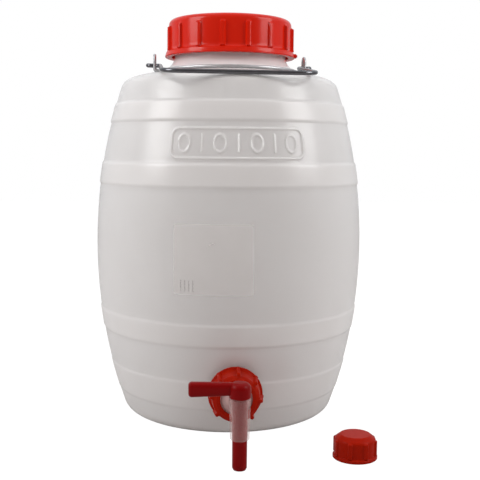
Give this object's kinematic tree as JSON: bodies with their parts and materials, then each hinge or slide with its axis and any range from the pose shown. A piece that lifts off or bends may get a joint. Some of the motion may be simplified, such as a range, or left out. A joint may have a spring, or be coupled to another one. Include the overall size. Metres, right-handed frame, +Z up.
{
  "type": "plastic fermenting barrel",
  "caption": "Milky barrel-shaped fermenting bucket with a ribbed red screw lid, a wire bail on a neck collar, a red outlet tap and a spare outlet cap.",
  "frame": {"origin": "centre of the flat base, on the surface that the barrel stands on", "axes": "+Z up along the barrel's axis; -Y is the front, where the outlet tap is; +X is to the right seen from the front"},
  "size_m": [0.32, 0.3988, 0.471],
  "materials": {
    "milky_polyethylene": "satin, slightly translucent",
    "red_polypropylene": "glossy moulded",
    "natural_polypropylene": "frosted, translucent",
    "galvanised_wire": "bright galvanised",
    "seal_rubber": "matt",
    "label_film": "satin film"
  },
  "bodies": {
    "barrel": {"barrel_shell": "milky_polyethylene", "carry_collar": "galvanised_wire", "tap_gasket": "seal_rubber", "union_nut": "red_polypropylene", "tap_body": "natural_polypropylene", "label": "label_film"},
    "seal": {"lid_seal": "seal_rubber"},
    "lid": {"screw_lid": "red_polypropylene"},
    "bail": {"bail_handle": "galvanised_wire"},
    "plug": {"tap_plug": "red_polypropylene"},
    "cap": {"spare_cap": "red_polypropylene", "spare_cap_seal": "seal_rubber"}
  },
  "joints": [
    {"name": "lid_lift", "type": "slide", "parent": "barrel", "child": "seal", "axis": [0, 0, 1], "range_m": [0, 0.048]},
    {"name": "lid_turn", "type": "hinge", "parent": "seal", "child": "lid", "pos_m": [0, 0, 0.449], "axis": [0, 0, 1], "range_deg": [0, 1080]},
    {"name": "bail_swing", "type": "hinge", "parent": "barrel", "child": "bail", "pos_m": [0, 0, 0.417], "axis": [-0.999, -0.0436, 0], "range_deg": [0, 194.5]},
    {"name": "tap_turn", "type": "hinge", "parent": "barrel", "child": "plug", "pos_m": [0, -0.228, 0.0565], "axis": [0, 0, 1], "range_deg": [0, 90]},
    {"name": "spare_cap_lift", "type": "slide", "parent": "barrel", "child": "cap", "axis": [0, 0, 1], "range_m": [0, 0.1]}
  ],
  "couplings": [
    {"joint": "lid_lift", "follows": "lid_turn", "m_per_rad": 0.0025465}
  ]
}
